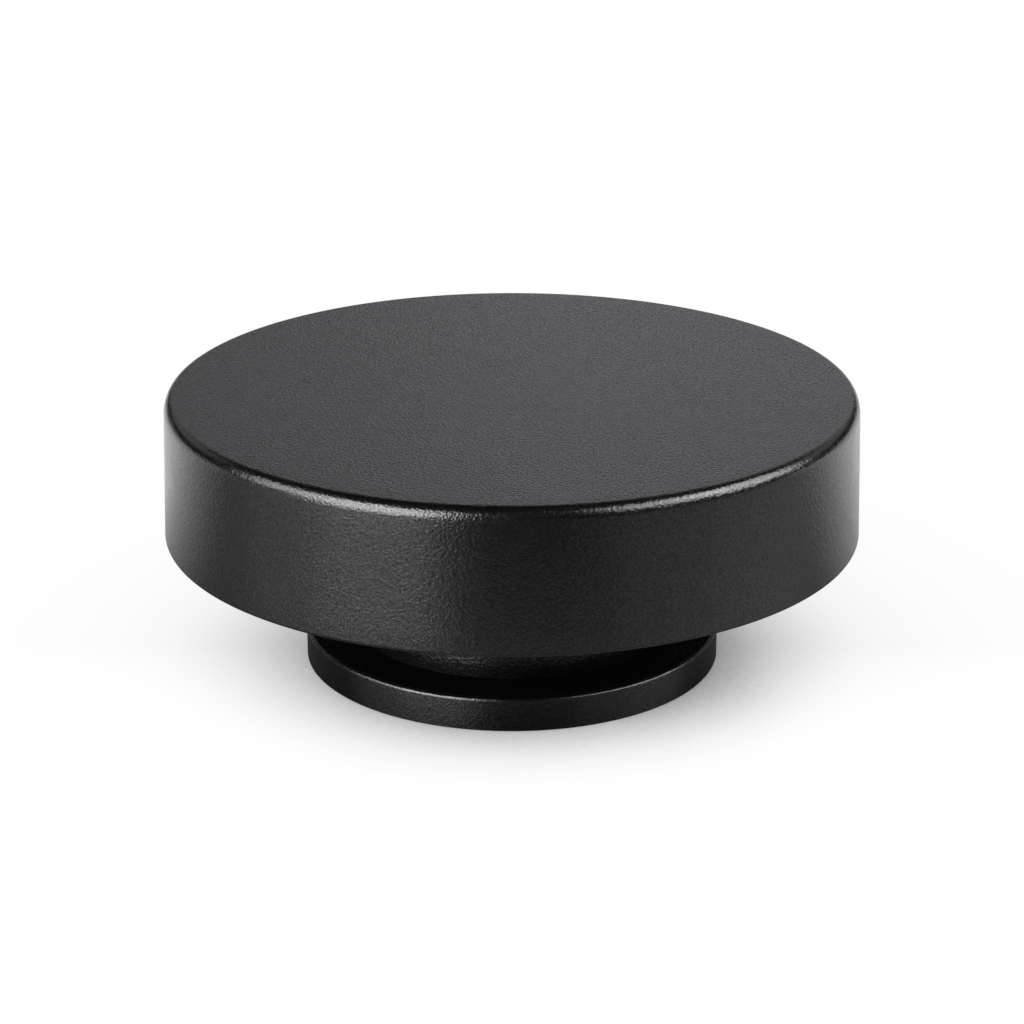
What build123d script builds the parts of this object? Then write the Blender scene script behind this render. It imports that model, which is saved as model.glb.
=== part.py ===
from build123d import *
import math
import os

# Weighted dealer button: a thick round cap on a narrow neck and a round foot, clamped together by one
# screw from below. Millimetres, +Z up. The origin is on the table, under the centre of the foot.

# Outside sizes
cap_diameter = 60.0  # across the cap's lower edge
cap_height = 12.3
cap_draft = 1.5  # degrees: the cap's side leans in towards the top
cap_top_radius = 1.0  # round between the top face and the side
cap_lower_radius = 0.3  # round along the lower edge
groove_height = 8.75  # the finger groove, from the foot's top to the cap's lower edge
neck_diameter = 28.0
foot_diameter = 36.0
foot_thickness = 2.9
foot_top_radius = 0.25
foot_lower_radius = 0.15

# Walls
cap_wall = 2.4
cap_top_wall = 2.6
neck_wall = 3.0
plate_thickness = 2.2
plate_recess = 0.3  # how far the under plate sits inside the cap's lower edge
plate_ledge = 0.8  # width of the step in the cap's wall that the under plate seats on

# Ribs, posts and the boss inside the cap
rib_count = 8
rib_width = 1.2
rib_height = 1.4
post_count = 4
post_wall = 1.5  # round a screw's pilot hole
post_first_angle = 45.0
boss_wall = 1.95  # round the threaded insert
wall_bite = 0.4  # how far ribs and posts run into the walls they join

# Fasteners and the threaded insert
screw_diameter = 4.0
screw_head_diameter = 7.6
screw_head_angle = 90.0
screw_head_rim = 0.2
screw_head_sunk = 0.1
socket_across_flats = 2.5
socket_depth = 1.3
insert_wall = 0.8
insert_length = 5.0
insert_groove_width = 1.0
insert_groove_depth = 0.35
insert_knurls = 20
insert_knurl_depth = 0.15
insert_tip_room = 1.0  # free depth over the insert
plate_screw_diameter = 1.9  # core of the self-tapping thread
plate_screw_length = 5.5
plate_screw_tip = 0.6
plate_screw_head_diameter = 3.8
plate_screw_head_height = 1.3
cross_recess_length = 2.2
cross_recess_width = 0.5
cross_recess_depth = 0.6
pin_diameter = 1.5
pin_length = 4.0
pin_count = 2
pin_floor = 0.5  # left over the rubber's recess and under the ring's groove
pin_chamfer = 0.2

# Registers that centre the neck, weights and rubber
foot_register_height = 0.8
plate_register_height = 1.0
ring_width = 4.0
ring_thickness = 2.0
ring_groove_depth = 0.6
ring_edge_radius = 0.5
slug_chamfer = 0.6
rubber_margin = 2.0  # the foot's rim round the rubber
rubber_recess_depth = 0.75
rubber_proud = 0.1  # how far the rubber stands out below the foot plate
rubber_edge_radius = 0.2
rubber_groove_count = 4
rubber_groove_width = 0.8
rubber_groove_depth = 0.35

# Clearances
fit_clearance = 0.1  # radial, around pieces that drop in
press_clearance = 0.02  # radial, around pins and the insert
thread_clearance = 0.05  # radial, where a plain shank stands for a thread
screw_hole_clearance = 0.2  # radial
slug_clearance = 0.5  # radial, between the cap's weight and what stands round it

# Levels, from the table up
foot_base = rubber_proud
foot_top = foot_base + foot_thickness
cap_base = foot_top + groove_height
cap_top = cap_base + cap_height
plate_base = cap_base + plate_recess
plate_top = plate_base + plate_thickness
ceiling = cap_top - cap_top_wall
recess_floor = foot_base + rubber_recess_depth
register_top = foot_top + foot_register_height
collar_base = plate_base - plate_register_height
ring_base = plate_top - ring_groove_depth
slug_base = ring_base + ring_thickness
slug_top = ceiling - rib_height
screw_base = recess_floor + screw_head_sunk
screw_tip = plate_top + insert_length
plate_screw_seat = plate_base + plate_screw_head_height + screw_head_sunk
plate_screw_end = plate_screw_seat + plate_screw_length
foot_pin_base = recess_floor + pin_floor
plate_pin_base = ring_base - pin_floor - pin_length

# The centre screw's head and its countersink, which are cones of one angle
head_slope = math.tan(math.radians(screw_head_angle / 2))
screw_radius = screw_diameter / 2
head_radius = screw_head_diameter / 2
head_cone_height = (head_radius - screw_radius) / head_slope
sink_radius = head_radius + (screw_head_rim + screw_head_sunk) * head_slope + fit_clearance

# Radii worked out from the sizes above
cap_radius = cap_diameter / 2
insert_radius = screw_radius + insert_wall
boss_radius = insert_radius + boss_wall
pilot_radius = plate_screw_diameter / 2 + thread_clearance
post_radius = pilot_radius + post_wall
neck_radius = neck_diameter / 2
foot_radius = foot_diameter / 2
cavity_radius = cap_radius - cap_wall
plate_seat_radius = cavity_radius + plate_ledge
plate_radius = plate_seat_radius - fit_clearance
post_circle = cavity_radius - post_radius + wall_bite
slug_radius = post_circle - post_radius - slug_clearance
slug_bore_radius = boss_radius + slug_clearance
ring_mid_radius = (slug_radius + slug_bore_radius) / 2
neck_bore_radius = neck_radius - neck_wall
register_radius = neck_bore_radius - fit_clearance
pin_circle = neck_radius - neck_wall / 2
pin_radius = pin_diameter / 2
rubber_radius = foot_radius - rubber_margin
rubber_groove_pitch = rubber_radius / (rubber_groove_count + 1)

os.makedirs("parts", exist_ok=True)


def finish(builder, name):
    """Labels a finished piece and writes it as its own STEP file."""
    builder.part.label = name
    export_step(builder.part, f"parts/{name}.step")


# The cap: a drafted cup, open below, with a boss, ribs and screw posts inside.
with BuildPart() as cap_shell:
    with BuildSketch(Plane.XY.offset(cap_base)):
        Circle(cap_radius)
    extrude(amount=cap_height, taper=cap_draft)
    fillet(cap_shell.edges().sort_by(Axis.Z)[-1], radius=cap_top_radius)
    fillet(cap_shell.edges().sort_by(Axis.Z)[0], radius=cap_lower_radius)
    with BuildSketch(Plane.XY.offset(cap_base)):
        Circle(cavity_radius)
    extrude(amount=ceiling - cap_base, taper=cap_draft, mode=Mode.SUBTRACT)
    with BuildSketch(Plane.XY.offset(cap_base)):
        Circle(plate_seat_radius)
    extrude(amount=plate_top - cap_base, mode=Mode.SUBTRACT)
    with BuildSketch(Plane.XY.offset(slug_top)):
        with PolarLocations((cavity_radius + boss_radius) / 2, rib_count):
            Rectangle(cavity_radius - boss_radius + 2 * wall_bite, rib_width)
    extrude(amount=rib_height)
    with BuildSketch(Plane.XY.offset(plate_top)):
        Circle(boss_radius)
        with PolarLocations(post_circle, post_count, start_angle=post_first_angle):
            Circle(post_radius)
    extrude(amount=ceiling - plate_top)
    with BuildSketch(Plane.XY.offset(plate_top)):
        Circle(insert_radius + press_clearance)
    extrude(amount=insert_length + insert_tip_room, mode=Mode.SUBTRACT)
    with BuildSketch(Plane.XY.offset(plate_top)):
        with PolarLocations(post_circle, post_count, start_angle=post_first_angle):
            Circle(pilot_radius)
    extrude(amount=plate_screw_end - plate_top + plate_screw_tip, mode=Mode.SUBTRACT)
finish(cap_shell, "cap_shell")

# The brass insert in the cap's boss: a tube with a waist and straight knurls.
with BuildPart() as threaded_insert:
    with BuildSketch(Plane.XY.offset(plate_top)):
        Circle(insert_radius)
        Circle(screw_radius + thread_clearance, mode=Mode.SUBTRACT)
    extrude(amount=insert_length)
    with BuildSketch(Plane.XY.offset(plate_top + (insert_length - insert_groove_width) / 2)):
        Circle(insert_radius)
        Circle(insert_radius - insert_groove_depth, mode=Mode.SUBTRACT)
    extrude(amount=insert_groove_width, mode=Mode.SUBTRACT)
    with BuildSketch(Plane.XY.offset(plate_top)):
        with PolarLocations(insert_radius, insert_knurls):
            Rectangle(2 * insert_knurl_depth, 2 * insert_knurl_depth, rotation=45)
    extrude(amount=insert_length, mode=Mode.SUBTRACT)
finish(threaded_insert, "threaded_insert")

# The steel weight in the cap, pressed against the ribs by the damping ring.
with BuildPart() as cap_slug:
    with BuildSketch(Plane.XY.offset(slug_base)):
        Circle(slug_radius)
        Circle(slug_bore_radius, mode=Mode.SUBTRACT)
    extrude(amount=slug_top - slug_base)
    chamfer(cap_slug.edges().filter_by(GeomType.CIRCLE), length=slug_chamfer)
finish(cap_slug, "cap_slug")

# The rubber ring that keeps the weight from rattling, in a groove of the under plate.
with BuildPart() as damping_ring:
    with BuildSketch(Plane.XY.offset(ring_base)):
        Circle(ring_mid_radius + ring_width / 2)
        Circle(ring_mid_radius - ring_width / 2, mode=Mode.SUBTRACT)
    extrude(amount=ring_thickness)
    fillet(damping_ring.edges().filter_by(GeomType.CIRCLE), radius=ring_edge_radius)
finish(damping_ring, "damping_ring")

# The plate that closes the cap from below. Its register centres the neck.
with BuildPart() as under_plate:
    with BuildSketch(Plane.XY.offset(plate_base)):
        Circle(plate_radius)
    extrude(amount=plate_thickness)
    with BuildSketch(Plane.XY.offset(collar_base)):
        Circle(register_radius)
    extrude(amount=plate_register_height)
    with BuildSketch(Plane.XY.offset(ring_base)):
        Circle(ring_mid_radius + ring_width / 2 + fit_clearance)
        Circle(ring_mid_radius - ring_width / 2 - fit_clearance, mode=Mode.SUBTRACT)
    extrude(amount=ring_groove_depth, mode=Mode.SUBTRACT)
    with BuildSketch(Plane.XY.offset(collar_base)):
        Circle(screw_radius + screw_hole_clearance)
    extrude(amount=plate_top - collar_base, mode=Mode.SUBTRACT)
    with BuildSketch(Plane.XY.offset(plate_base)):
        with PolarLocations(post_circle, post_count, start_angle=post_first_angle):
            Circle(plate_screw_head_diameter / 2 + screw_hole_clearance)
    extrude(amount=plate_screw_seat - plate_base, mode=Mode.SUBTRACT)
    with BuildSketch(Plane.XY.offset(plate_base)):
        with PolarLocations(post_circle, post_count, start_angle=post_first_angle):
            Circle(plate_screw_diameter / 2 + screw_hole_clearance)
    extrude(amount=plate_thickness, mode=Mode.SUBTRACT)
    with BuildSketch(Plane.XY.offset(plate_base)):
        with PolarLocations(pin_circle, pin_count):
            Circle(pin_radius + press_clearance)
    extrude(amount=plate_pin_base + pin_length - plate_base, mode=Mode.SUBTRACT)
finish(under_plate, "under_plate")

# The self-tapping screws that hold the under plate: cross-recessed heads, pointing down.
with BuildPart() as under_plate_screws:
    with BuildSketch(Plane.XY.offset(plate_screw_seat - plate_screw_head_height)):
        with PolarLocations(post_circle, post_count, start_angle=post_first_angle):
            Circle(plate_screw_head_diameter / 2)
    extrude(amount=plate_screw_head_height)
    with BuildSketch(Plane.XY.offset(plate_screw_seat)):
        with PolarLocations(post_circle, post_count, start_angle=post_first_angle):
            Circle(plate_screw_diameter / 2)
    extrude(amount=plate_screw_length)
    chamfer(under_plate_screws.edges().group_by(Axis.Z)[-1], length=plate_screw_tip)
    with BuildSketch(Plane.XY.offset(plate_screw_seat - plate_screw_head_height)):
        with PolarLocations(post_circle, post_count, start_angle=post_first_angle):
            Rectangle(cross_recess_length, cross_recess_width)
            Rectangle(cross_recess_width, cross_recess_length)
    extrude(amount=cross_recess_depth, mode=Mode.SUBTRACT)
finish(under_plate_screws, "under_plate_screws")

# The neck: a straight tube with pin holes in both ends.
with BuildPart() as neck_sleeve:
    with BuildSketch(Plane.XY.offset(foot_top)):
        Circle(neck_radius)
        Circle(neck_bore_radius, mode=Mode.SUBTRACT)
    extrude(amount=plate_base - foot_top)
    for base in (foot_pin_base, plate_pin_base):
        with BuildSketch(Plane.XY.offset(base - fit_clearance)):
            with PolarLocations(pin_circle, pin_count):
                Circle(pin_radius + press_clearance)
        extrude(amount=pin_length + 2 * fit_clearance, mode=Mode.SUBTRACT)
finish(neck_sleeve, "neck_sleeve")

# The steel weight in the neck, between the two registers.
with BuildPart() as neck_slug:
    with BuildSketch(Plane.XY.offset(register_top)):
        Circle(register_radius)
        Circle(screw_radius + screw_hole_clearance, mode=Mode.SUBTRACT)
    extrude(amount=collar_base - register_top)
    chamfer(neck_slug.edges().filter_by(GeomType.CIRCLE), length=slug_chamfer)
finish(neck_slug, "neck_slug")

# The pins that stop the neck from turning against the foot and the under plate.
with BuildPart() as locating_pins:
    for base in (foot_pin_base, plate_pin_base):
        with BuildSketch(Plane.XY.offset(base)):
            with PolarLocations(pin_circle, pin_count):
                Circle(pin_radius)
        extrude(amount=pin_length)
    chamfer(locating_pins.edges().filter_by(GeomType.CIRCLE), length=pin_chamfer)
finish(locating_pins, "locating_pins")

# The foot: a turned steel disc with a register on top, and a recess and a countersink below.
with BuildPart() as foot_plate:
    with BuildSketch(Plane.XY.offset(foot_base)):
        Circle(foot_radius)
    extrude(amount=foot_thickness)
    fillet(foot_plate.edges().sort_by(Axis.Z)[-1], radius=foot_top_radius)
    fillet(foot_plate.edges().sort_by(Axis.Z)[0], radius=foot_lower_radius)
    with BuildSketch(Plane.XY.offset(foot_top)):
        Circle(register_radius)
    extrude(amount=foot_register_height)
    with BuildSketch(Plane.XY.offset(foot_base)):
        Circle(rubber_radius + fit_clearance)
    extrude(amount=rubber_recess_depth, mode=Mode.SUBTRACT)
    with Locations(Plane(origin=(0, 0, recess_floor), z_dir=(0, 0, -1))):
        CounterSinkHole(
            radius=screw_radius + screw_hole_clearance,
            counter_sink_radius=sink_radius,
            counter_sink_angle=screw_head_angle,
        )
    with BuildSketch(Plane.XY.offset(foot_pin_base)):
        with PolarLocations(pin_circle, pin_count):
            Circle(pin_radius + press_clearance)
    extrude(amount=foot_top - foot_pin_base, mode=Mode.SUBTRACT)
finish(foot_plate, "foot_plate")

# The screw that clamps foot, neck, under plate and cap: a countersunk head with a hexagon socket.
with BuildPart() as centre_screw:
    with BuildSketch(Plane.XZ):
        with BuildLine():
            Polyline(
                (0, screw_base),
                (head_radius, screw_base),
                (head_radius, screw_base + screw_head_rim),
                (screw_radius, screw_base + screw_head_rim + head_cone_height),
                (screw_radius, screw_tip),
                (0, screw_tip),
                close=True,
            )
        make_face()
    revolve(axis=Axis.Z)
    with BuildSketch(Plane.XY.offset(screw_base)):
        RegularPolygon(radius=socket_across_flats / 2, side_count=6, major_radius=False)
    extrude(amount=socket_depth, mode=Mode.SUBTRACT)
finish(centre_screw, "centre_screw")

# The rubber foot, with ring grooves below for grip.
with BuildPart() as rubber_foot:
    with BuildSketch():
        Circle(rubber_radius)
    extrude(amount=recess_floor)
    fillet(rubber_foot.edges().sort_by(Axis.Z)[0], radius=rubber_edge_radius)
    with BuildSketch():
        for ring in range(rubber_groove_count, 0, -1):
            Circle(ring * rubber_groove_pitch + rubber_groove_width / 2)
            Circle(ring * rubber_groove_pitch - rubber_groove_width / 2, mode=Mode.SUBTRACT)
    extrude(amount=rubber_groove_depth, mode=Mode.SUBTRACT)
finish(rubber_foot, "rubber_foot")
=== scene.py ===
"""Looks of the weighted dealer button: a grained black cap, neck and foot on a white sheet, in soft light."""

import math

import bmesh
import bpy
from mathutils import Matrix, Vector


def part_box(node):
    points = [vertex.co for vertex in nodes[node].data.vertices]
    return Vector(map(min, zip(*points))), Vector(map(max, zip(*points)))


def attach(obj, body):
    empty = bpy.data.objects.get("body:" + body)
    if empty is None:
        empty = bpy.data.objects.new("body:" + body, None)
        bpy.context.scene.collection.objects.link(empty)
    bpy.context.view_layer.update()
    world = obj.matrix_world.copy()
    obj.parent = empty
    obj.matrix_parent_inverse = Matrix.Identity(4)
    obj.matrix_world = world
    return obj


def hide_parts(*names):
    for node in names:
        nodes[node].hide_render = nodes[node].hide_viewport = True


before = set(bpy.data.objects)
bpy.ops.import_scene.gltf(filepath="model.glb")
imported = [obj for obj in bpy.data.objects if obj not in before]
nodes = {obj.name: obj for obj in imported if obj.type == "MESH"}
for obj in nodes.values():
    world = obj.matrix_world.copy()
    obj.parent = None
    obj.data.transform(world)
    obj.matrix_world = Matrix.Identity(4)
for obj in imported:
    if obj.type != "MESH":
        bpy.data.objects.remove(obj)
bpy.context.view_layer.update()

MM = 0.001
BODY = "root"
ROUND_STEPS = 360  # quads round each turned piece
ARC_STEPS = 12  # facets of a rounded edge
LONGEST_RUN = 1.6 * MM  # along an outline, so that quads stay near square enough to shade evenly
ON_AXIS = 1e-7  # a radius below this is a point on the Z axis
SMOOTH_ANGLE = math.radians(35)  # edges sharper than this stay sharp

# Sizes of the outside pieces that the frame's boxes don't give, in metres
CAP_RADIUS = 30 * MM  # at the lower edge, before its rounding
CAP_DRAFT = math.radians(1.5)
CAP_RIM = (0.85 * MM, 1.2 * MM)  # reach of the rounded rim across the top and down the side
CAP_LOWER_RIM = 0.3 * MM
CAP_WALL = 2.4 * MM
CAP_TOP_WALL = 2.6 * MM
CAP_INNER_CORNER = 0.4 * MM
PLATE_LEDGE = 0.8 * MM
NECK_WALL = 3.0 * MM
FOOT_RIM = 0.35 * MM
FOOT_LOWER_RIM = 0.05 * MM
FOOT_RECESS = 0.75 * MM
SCREW_BORE = 2.2 * MM  # radius
SCREW_SINK = 4.2 * MM  # radius of the countersink
RUBBER_GAP = 0.1 * MM
RUBBER_GROOVES = 4
RUBBER_GROOVE_WIDTH = 0.8 * MM
RUBBER_GROOVE_DEPTH = 0.35 * MM
RUBBER_RIM = 0.2 * MM
BROKEN_EDGE = 0.1 * MM
CRISP_EDGE = 0.05 * MM

# Surfaces
IOR = 1.5
NOISE_ENDS = (0.3, 0.7)  # a noise's values mostly lie between these
SMALL_NOISE = 1.6  # scale times the grain's size
BROAD_NOISE = 0.12
NOISE_IN_RELIEF = 0.5  # its share, beside the pebbles
LOOKS_UP = (0.9, 0.99)  # height of a face's normal from which it starts to count as a top, and fully does


def rounded(points):
    """An outline of (radius, height, rounding) as plain points, its corners turned into arcs.

    The rounding is how far the arc reaches along both runs, or a pair with one reach for each run."""
    outline = []
    count = len(points)
    for i in range(count):
        here = Vector(points[i][:2])
        rounding = points[i][2]
        if not rounding:
            outline.append(here)
            continue
        reach_before, reach_after = rounding if isinstance(rounding, tuple) else (rounding, rounding)
        before = (Vector(points[i - 1][:2]) - here).normalized() * reach_before
        after = (Vector(points[(i + 1) % count][:2]) - here).normalized() * reach_after
        for k in range(ARC_STEPS + 1):
            turn = math.pi / 2 * k / ARC_STEPS
            outline.append(here + before * (1 - math.sin(turn)) + after * (1 - math.cos(turn)))
    return outline


def divided(outline):
    """The outline with its long runs cut up."""
    fine = []
    for i, here in enumerate(outline):
        after = outline[(i + 1) % len(outline)]
        pieces = max(1, math.ceil((after - here).length / LONGEST_RUN))
        if here.x < ON_AXIS and after.x < ON_AXIS:
            pieces = 1
        for k in range(pieces):
            fine.append(here.lerp(after, k / pieces))
    return fine


def turned(points):
    """A mesh of the closed ring or solid that the outline sweeps round the Z axis.

    The outline is one of (radius, height, rounding)."""
    mesh = bmesh.new()
    rings = []
    for point in divided(rounded(points)):
        if point.x < ON_AXIS:
            rings.append([mesh.verts.new((0, 0, point.y))])
            continue
        ring = []
        for k in range(ROUND_STEPS):
            angle = 2 * math.pi * k / ROUND_STEPS
            ring.append(mesh.verts.new((point.x * math.cos(angle), point.x * math.sin(angle), point.y)))
        rings.append(ring)
    for a, b in zip(rings, rings[1:] + rings[:1]):
        if len(a) == 1 and len(b) == 1:
            continue
        for k in range(ROUND_STEPS):
            n = (k + 1) % ROUND_STEPS
            if len(a) == 1:
                mesh.faces.new((a[0], b[n], b[k]))
            elif len(b) == 1:
                mesh.faces.new((a[k], a[n], b[0]))
            else:
                mesh.faces.new((a[k], a[n], b[n], b[k]))
    return mesh


def piece(name, points, look, replaced):
    """A turned object of that outline and material, which rides on the button and stands for a CAD node."""
    mesh = turned(points)
    bmesh.ops.recalc_face_normals(mesh, faces=mesh.faces)
    data = bpy.data.meshes.new(name)
    mesh.to_mesh(data)
    mesh.free()
    data.shade_smooth()
    data.set_sharp_from_angle(angle=SMOOTH_ANGLE)
    data.materials.append(look)
    made = bpy.data.objects.new(name, data)
    bpy.context.scene.collection.objects.link(made)
    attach(made, BODY)
    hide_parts(replaced)


def add_node(tree, kind, **sockets):
    """A node whose inputs are set, or linked where the value is another node's output.

    An input goes by its label with _ for each space, or by i and its number."""
    node = tree.nodes.new(kind)
    for socket, value in sockets.items():
        target = node.inputs[int(socket[1:]) if socket[1:].isdigit() else socket.replace("_", " ")]
        if isinstance(value, bpy.types.NodeSocket):
            tree.links.new(value, target)
        else:
            target.default_value = value
    return node


def calculated(tree, operation, a, b):
    """One step of arithmetic."""
    node = add_node(tree, "ShaderNodeMath", i0=a, i1=b)
    node.operation = operation
    return node.outputs["Value"]


def mapped(tree, value, low, high, low_out, high_out):
    """A value that goes from low_out to high_out as the given one goes from low to high."""
    return add_node(tree, "ShaderNodeMapRange", Value=value, From_Min=low, From_Max=high, To_Min=low_out,
                    To_Max=high_out).outputs["Result"]


def blended(tree, factor, a, b):
    """A value between a and b."""
    return add_node(tree, "ShaderNodeMix", Factor=factor, A=a, B=b).outputs["Result"]


def noise(tree, place, scale, detail):
    """Noise from 0 to 1."""
    return add_node(tree, "ShaderNodeTexNoise", Vector=place, Scale=scale, Detail=detail).outputs["Fac"]


def bumped(tree, height, depth):
    """Gives the material's surface that relief."""
    bump = add_node(tree, "ShaderNodeBump", Strength=1.0, Distance=depth, Height=height)
    tree.links.new(bump.outputs["Normal"], tree.nodes["Principled BSDF"].inputs["Normal"])


def material(name, colour, roughness, metallic=0.0):
    """A Principled material."""
    made = bpy.data.materials.new(name)
    made.use_nodes = True
    shader = made.node_tree.nodes["Principled BSDF"]
    shader.inputs["Base Color"].default_value = (*colour, 1)
    shader.inputs["Roughness"].default_value = roughness
    shader.inputs["Metallic"].default_value = metallic
    shader.inputs["IOR"].default_value = IOR
    return made


def grain(made, size, depth, colours, gloss, shine=None, top=None):
    """Gives a material a moulded grain of small pebbles, with colour, roughness and shine that vary a little.

    colours, gloss and shine are the two ends of each. top holds the depth's factor, the gloss and the shine of
    the faces that look up, where they differ."""
    tree = made.node_tree
    shader = tree.nodes["Principled BSDF"]
    place = add_node(tree, "ShaderNodeTexCoord").outputs["Object"]
    small = noise(tree, place, SMALL_NOISE / size, 1.0)
    broad = noise(tree, place, BROAD_NOISE / size, 2.0)
    pebbles = add_node(tree, "ShaderNodeTexVoronoi", Vector=place)
    pebbles.feature = "SMOOTH_F1"
    pebbles.inputs["Scale"].default_value = 1 / size
    pebbles.inputs["Smoothness"].default_value = 1.0
    relief = blended(tree, NOISE_IN_RELIEF, pebbles.outputs["Distance"], small)
    height = relief
    roughness = mapped(tree, broad, *NOISE_ENDS, *gloss)
    specular = mapped(tree, small, *NOISE_ENDS, *shine) if shine else None
    # Faces that look up get their own relief, gloss and shine; on the foot this paints shade on its top face.
    if top:
        factor, top_gloss, top_shine_and_painted_shade = top
        normal = add_node(tree, "ShaderNodeNewGeometry").outputs["Normal"]
        facing = add_node(tree, "ShaderNodeSeparateXYZ", Vector=normal).outputs["Z"]
        looks_up = mapped(tree, facing, *LOOKS_UP, 0.0, 1.0)
        height = calculated(tree, "MULTIPLY", relief, mapped(tree, looks_up, 0.0, 1.0, 1.0, factor))
        roughness = blended(tree, looks_up, roughness, mapped(tree, broad, *NOISE_ENDS, *top_gloss))
        specular = blended(tree, looks_up, specular, mapped(tree, small, *NOISE_ENDS, *top_shine_and_painted_shade))
    bumped(tree, height, depth)
    ramp = add_node(tree, "ShaderNodeValToRGB", Fac=relief)
    for stop, position, colour in zip(ramp.color_ramp.elements, NOISE_ENDS, colours):
        stop.position = position
        stop.color = (*colour, 1)
    tree.links.new(ramp.outputs["Color"], shader.inputs["Base Color"])
    tree.links.new(roughness, shader.inputs["Roughness"])
    if shine:
        tree.links.new(specular, shader.inputs["Specular IOR Level"])
    return made


def brushed(made, scale, stretch, gloss, depth):
    """Gives a metal fine machining marks, stretched along Z by the given factor."""
    tree = made.node_tree
    place = add_node(tree, "ShaderNodeTexCoord").outputs["Object"]
    mapping = add_node(tree, "ShaderNodeMapping", Vector=place, Scale=(1, 1, stretch))
    marks = noise(tree, mapping.outputs["Vector"], scale, 3.0)
    roughness = mapped(tree, marks, 0.0, 1.0, *gloss)
    tree.links.new(roughness, tree.nodes["Principled BSDF"].inputs["Roughness"])
    bumped(tree, marks, depth)
    return made


# Materials
GRAIN_SIZE = 0.26 * MM
RUBBER_GRAIN_SIZE = 0.25 * MM
BLACK = (0.002, 0.002, 0.0022)
BLACKS = ((0.001, 0.001, 0.0011), BLACK)
cap_black = grain(
    material("cap_grained_black", BLACK, 0.25), GRAIN_SIZE, 0.038 * MM, BLACKS, (0.2, 0.24),
    shine=(0.32, 0.68), top=(2.6, (0.2, 0.24), (0.05, 0.95)),
)
neck_black = grain(
    material("neck_satin_black", BLACK, 0.25), GRAIN_SIZE, 0.04 * MM, BLACKS, (0.2, 0.24), shine=(0.4, 0.9),
)
# The foot's faces that look up get almost no shine and a high roughness: painted shade, for the deep shade
# under the cap.
foot_black = grain(
    material("foot_coated_black", BLACK, 0.25), GRAIN_SIZE, 0.03 * MM, BLACKS, (0.22, 0.26),
    shine=(0.3, 0.7), top=(1.0, (0.65, 0.75), (0.0, 0.04)),
)
plate_black = grain(
    material("plate_satin_black", BLACK, 0.35), GRAIN_SIZE, 0.015 * MM, BLACKS, (0.36, 0.42),
)
rubber_black = grain(
    material("foot_rubber_black", (0.012, 0.012, 0.012), 0.6), RUBBER_GRAIN_SIZE, 0.02 * MM,
    ((0.009, 0.009, 0.009), (0.016, 0.016, 0.0165)), (0.55, 0.7),
)
ring_black = grain(
    material("ring_rubber_black", (0.015, 0.015, 0.015), 0.6), RUBBER_GRAIN_SIZE, 0.02 * MM,
    ((0.012, 0.012, 0.012), (0.02, 0.02, 0.0205)), (0.55, 0.7),
)
screw_black = brushed(
    material("screw_black_oxide", (0.05, 0.05, 0.054), 0.35, metallic=1.0), 1500, 6, (0.28, 0.42), 0.004 * MM,
)
brass = brushed(
    material("insert_brass", (0.78, 0.56, 0.24), 0.3, metallic=1.0), 1500, 6, (0.22, 0.38), 0.004 * MM,
)
steel = brushed(
    material("weight_turned_steel", (0.48, 0.49, 0.51), 0.35, metallic=1.0), 900, 8, (0.28, 0.45), 0.006 * MM,
)
pin_metal = brushed(
    material("pin_ground_steel", (0.6, 0.61, 0.63), 0.25, metallic=1.0), 2500, 4, (0.18, 0.3), 0.003 * MM,
)

for name, made in (
    ("under_plate", plate_black), ("under_plate_screws", screw_black), ("centre_screw", screw_black),
    ("threaded_insert", brass), ("cap_slug", steel), ("neck_slug", steel), ("locating_pins", pin_metal),
    ("damping_ring", ring_black), ("cap_shell", cap_black), ("neck_sleeve", neck_black),
    ("foot_plate", foot_black), ("rubber_foot", rubber_black),
):
    nodes[name].data.materials.clear()
    nodes[name].data.materials.append(made)

# The cap: outside, lower edge, ledge over the under plate, inner wall and ceiling
low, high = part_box("cap_shell")
plate_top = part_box("under_plate")[1].z
lean = math.tan(CAP_DRAFT)
cavity_radius = CAP_RADIUS - CAP_WALL
ceiling = high.z - CAP_TOP_WALL
piece("cap_skin", [
    (0, high.z, 0),
    (CAP_RADIUS - (high.z - low.z) * lean, high.z, CAP_RIM),
    (CAP_RADIUS, low.z, CAP_LOWER_RIM),
    (cavity_radius + PLATE_LEDGE, low.z, BROKEN_EDGE),
    (cavity_radius + PLATE_LEDGE, plate_top, 0),
    (cavity_radius - (plate_top - low.z) * lean, plate_top, 0),
    (cavity_radius - (ceiling - low.z) * lean, ceiling, CAP_INNER_CORNER),
    (0, ceiling, 0),
], cap_black, "cap_shell")

# The neck: a straight sleeve
neck_low, neck_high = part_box("neck_sleeve")
piece("neck_skin", [
    (neck_high.x, neck_low.z, CRISP_EDGE),
    (neck_high.x, neck_high.z, CRISP_EDGE),
    (neck_high.x - NECK_WALL, neck_high.z, 0),
    (neck_high.x - NECK_WALL, neck_low.z, 0),
], neck_black, "neck_sleeve")

# The foot: a disc with a register above, a countersunk bore, and a recess for the rubber below
low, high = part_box("foot_plate")
rubber_low, rubber_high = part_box("rubber_foot")
register_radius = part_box("neck_slug")[1].x
recess_radius = rubber_high.x + RUBBER_GAP
recess_top = low.z + FOOT_RECESS
piece("foot_skin", [
    (high.x, low.z, FOOT_LOWER_RIM),
    (high.x, neck_low.z, FOOT_RIM),
    (register_radius, neck_low.z, 0),
    (register_radius, high.z, BROKEN_EDGE),
    (SCREW_BORE, high.z, 0),
    (SCREW_BORE, recess_top + SCREW_SINK - SCREW_BORE, 0),
    (SCREW_SINK, recess_top, 0),
    (recess_radius, recess_top, 0),
    (recess_radius, low.z, BROKEN_EDGE),
], foot_black, "foot_plate")

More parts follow.
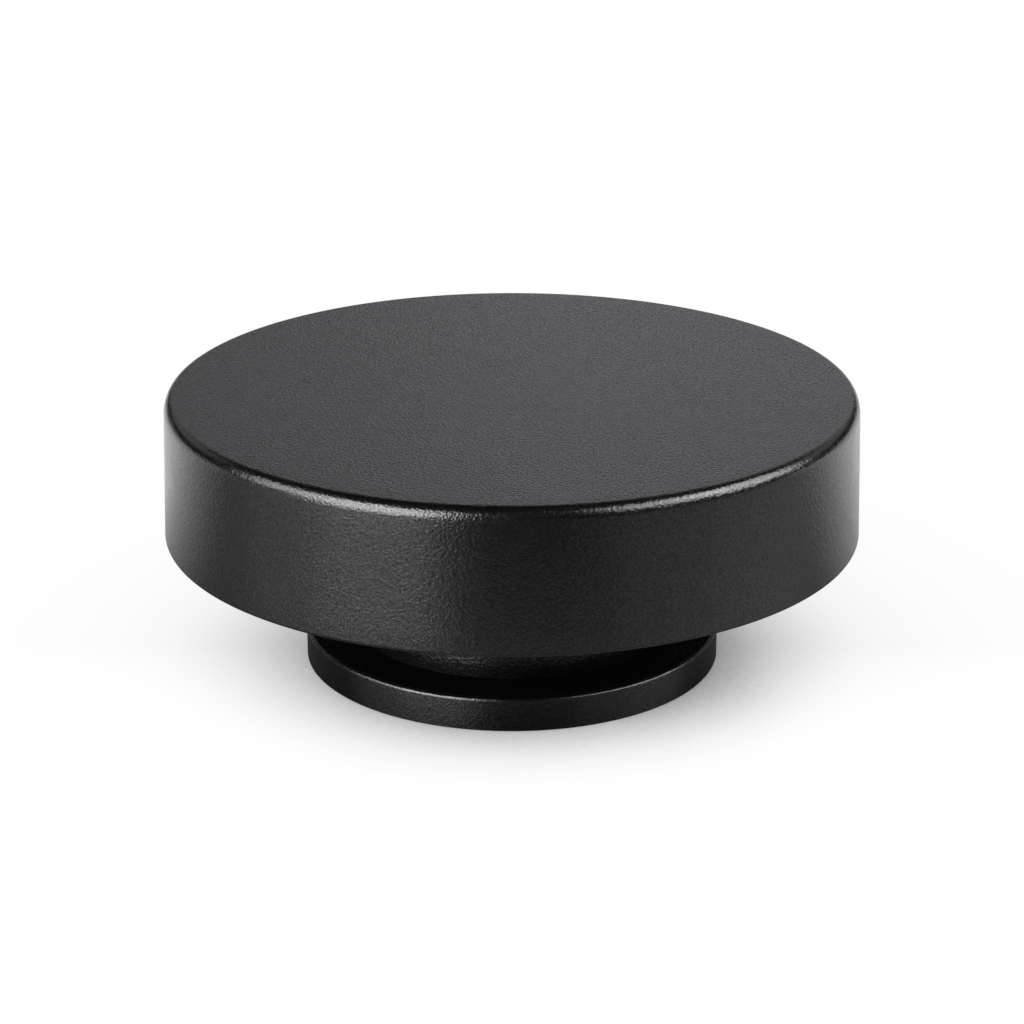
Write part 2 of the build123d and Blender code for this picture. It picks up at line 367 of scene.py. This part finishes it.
# The rubber foot: a disc with ring grooves below
rubber_outline = [
    (0, rubber_high.z, 0),
    (rubber_high.x, rubber_high.z, CRISP_EDGE),
    (rubber_high.x, rubber_low.z, RUBBER_RIM),
]
pitch = rubber_high.x / (RUBBER_GROOVES + 1)
groove_top = rubber_low.z + RUBBER_GROOVE_DEPTH
for ring in range(RUBBER_GROOVES, 0, -1):
    outer = ring * pitch + RUBBER_GROOVE_WIDTH / 2
    inner = ring * pitch - RUBBER_GROOVE_WIDTH / 2
    for radius, height in (
        (outer, rubber_low.z), (outer, groove_top), (inner, groove_top), (inner, rubber_low.z),
    ):
        rubber_outline.append((radius, height, BROKEN_EDGE))
rubber_outline.append((0, rubber_low.z, 0))
piece("rubber_skin", rubber_outline, rubber_black, "rubber_foot")

# Floor: a white sheet that glows white to the camera, with a painted soft contact shadow, as in a product
# picture.
# In reflections the button sees it painted darker in front than behind, with painted shade where the button
# covers it.
SHADOW_REACH = 30 * MM
SHADOW_Y = (-20 * MM, 0.0)  # towards the camera, and level with the button's middle
SHADOW_START = (0.115, 0.07)  # share of open sky at which the sheet is near black, at those two
SHADOW_SLOPE = (8.5, 4.3)
SHADOW_X = (8 * MM, 20 * MM)
SHADOW_ON_RIGHT = 0.065  # added to the start from the one to the other
SHEET_GLOW = 1.02
SHEET_WHITE = 0.8
SHEET_IN_GLOSS = (0.26, 0.97)  # under the button's middle and in front, and behind
SHEET_IN_GLOSS_Y = (0.0, 40 * MM)
OPEN_BEHIND = 0.9  # the least share of open sky in reflections behind the button
OPEN_BEHIND_Y = (0.0, 30 * MM)
SHEET_ROUGHNESS = 0.35
SHEET_IOR = 1.24
sheet_material = bpy.data.materials.new("white_sheet")
sheet_material.use_nodes = True
tree = sheet_material.node_tree
tree.nodes.clear()
position = add_node(tree, "ShaderNodeNewGeometry").outputs["Position"]
place = add_node(tree, "ShaderNodeSeparateXYZ", Vector=position)
x, y = place.outputs["X"], place.outputs["Y"]
open_sky = add_node(tree, "ShaderNodeAmbientOcclusion", Distance=SHADOW_REACH).outputs["AO"]
ray = add_node(tree, "ShaderNodeLightPath")
# Painted contact shadow: the glow that the camera sees drops where the sheet has little open sky.
start = calculated(
    tree, "ADD", mapped(tree, y, *SHADOW_Y, *SHADOW_START), mapped(tree, x, *SHADOW_X, 0.0, SHADOW_ON_RIGHT),
)
fall = calculated(
    tree, "MULTIPLY", calculated(tree, "SUBTRACT", start, open_sky), mapped(tree, y, *SHADOW_Y, *SHADOW_SLOPE),
)
glow = calculated(tree, "SUBTRACT", SHEET_GLOW, calculated(tree, "EXPONENT", fall, 0.0))
for_camera = add_node(tree, "ShaderNodeEmission", Strength=calculated(tree, "MAXIMUM", glow, 0.0))
# Painted shade in reflections: in glossy rays the sheet is darker in front of the button's middle and where the
# button covers it, less so behind.
in_gloss = calculated(
    tree, "MULTIPLY", mapped(tree, y, *SHEET_IN_GLOSS_Y, *SHEET_IN_GLOSS),
    calculated(tree, "MAXIMUM", open_sky, mapped(tree, y, *OPEN_BEHIND_Y, 0.0, OPEN_BEHIND)),
)
albedo = mapped(tree, ray.outputs["Is Glossy Ray"], 0.0, 1.0, SHEET_WHITE, in_gloss)
for_rest = add_node(
    tree, "ShaderNodeBsdfPrincipled", Base_Color=albedo, Roughness=SHEET_ROUGHNESS, IOR=SHEET_IOR,
)
by_ray = add_node(
    tree, "ShaderNodeMixShader", Fac=ray.outputs["Is Camera Ray"], i1=for_rest.outputs["BSDF"],
    i2=for_camera.outputs["Emission"],
)
add_node(tree, "ShaderNodeOutputMaterial", Surface=by_ray.outputs["Shader"])


def sheet(name, corner, opposite, height, made):
    """A flat rectangle at that height, with that material."""
    mesh = bpy.data.meshes.new(name)
    mesh.from_pydata([
        (corner[0], corner[1], height), (opposite[0], corner[1], height),
        (opposite[0], opposite[1], height), (corner[0], opposite[1], height),
    ], [], [(0, 1, 2, 3)])
    mesh.materials.append(made)
    made_sheet = bpy.data.objects.new(name, mesh)
    bpy.context.scene.collection.objects.link(made_sheet)
    return made_sheet


FLOOR_REACH = 3
sheet("floor", (-FLOOR_REACH, -FLOOR_REACH), (FLOOR_REACH, FLOOR_REACH), 0.0, sheet_material)

# A dark card in front of the button, seen only in reflections: painted shade in the sheet's reflection there
CARD_CORNERS = ((-0.03, -0.4), (0.045, -0.075))
CARD_HEIGHT = 0.0005
card_material = material("painted_shade_card", (0.02, 0.02, 0.02), 1.0)
painted_shade_card = sheet("painted_shade_card", *CARD_CORNERS, CARD_HEIGHT, card_material)
painted_shade_card.visible_camera = False
painted_shade_card.visible_diffuse = False
painted_shade_card.visible_shadow = False

# World: white where the camera looks past the floor, dim in reflections
WORLD_IN_REST = 0.01
WORLD_IN_CAMERA = 1.0
world = bpy.data.worlds.new("studio")
world.use_nodes = True
bpy.context.scene.world = world
tree = world.node_tree
backdrop = tree.nodes["Background"]
backdrop.inputs["Color"].default_value = (1, 1, 1, 1)
seen = add_node(tree, "ShaderNodeLightPath").outputs["Is Camera Ray"]
tree.links.new(mapped(tree, seen, 0.0, 1.0, WORLD_IN_REST, WORLD_IN_CAMERA), backdrop.inputs["Strength"])

# Lights: name, azimuth from the camera's side (positive to the right), elevation, width and height as seen from
# the button, all in degrees, brightness, where 1 is the white of the sheet, and the tint of those that have one
AIM = Vector((0, 0, 0.015))
LIGHT_DISTANCE = 0.7
PALE_BLUE = (0.98, 0.99, 1.03)
LIGHTS = [
    ("left_front", -42, 15, 40, 40, 11.5),
    ("left_side", -76, 22, 28, 30, 6.0),
    ("right_front", 55, 34, 34, 29, 6.9),
    ("right_side", 86, 31, 34, 32, 7.5),
    ("back_left", -169, 18, 22, 30, 0.4, PALE_BLUE),
    ("back_right", 169, 18, 24, 30, 0.62, PALE_BLUE),
    ("back_high", 175, 48, 50, 28, 0.37, PALE_BLUE),
    ("fill_left", -135, 24, 36, 18, 0.5),
    ("fill_right", 135, 24, 36, 18, 0.5),
]


def light(name, azimuth, elevation, width, height, brightness, tint=(1.0, 1.0, 1.0)):
    """A soft rectangular light that faces the button."""
    data = bpy.data.lights.new(name, "AREA")
    data.shape = "RECTANGLE"
    data.size = 2 * LIGHT_DISTANCE * math.tan(math.radians(width / 2))
    data.size_y = 2 * LIGHT_DISTANCE * math.tan(math.radians(height / 2))
    data.energy = brightness * math.pi * data.size * data.size_y
    data.color = tint
    made = bpy.data.objects.new(name, data)
    a, e = math.radians(azimuth), math.radians(elevation)
    offset = Vector((math.sin(a) * math.cos(e), -math.cos(a) * math.cos(e), math.sin(e)))
    made.location = AIM + offset * LIGHT_DISTANCE
    made.rotation_euler = offset.to_track_quat("Z", "Y").to_euler()
    bpy.context.scene.collection.objects.link(made)


for row in LIGHTS:
    light(*row)

# Camera: the photograph's angle
CAMERA_PLACE = (0.0, -0.25207, 0.1065)
CAMERA_DOWN = 20.4  # degrees below level
CAMERA_SENSOR = 36  # millimetres, as is the lens
CAMERA_LENS = 108.84
camera_data = bpy.data.cameras.new("camera")
camera_data.sensor_width = CAMERA_SENSOR
camera_data.lens = CAMERA_LENS
camera = bpy.data.objects.new("camera", camera_data)
camera.location = CAMERA_PLACE
camera.rotation_euler = (math.radians(90 - CAMERA_DOWN), 0, 0)
bpy.context.scene.collection.objects.link(camera)
bpy.context.scene.camera = camera
bpy.context.scene.view_settings.view_transform = "Standard"
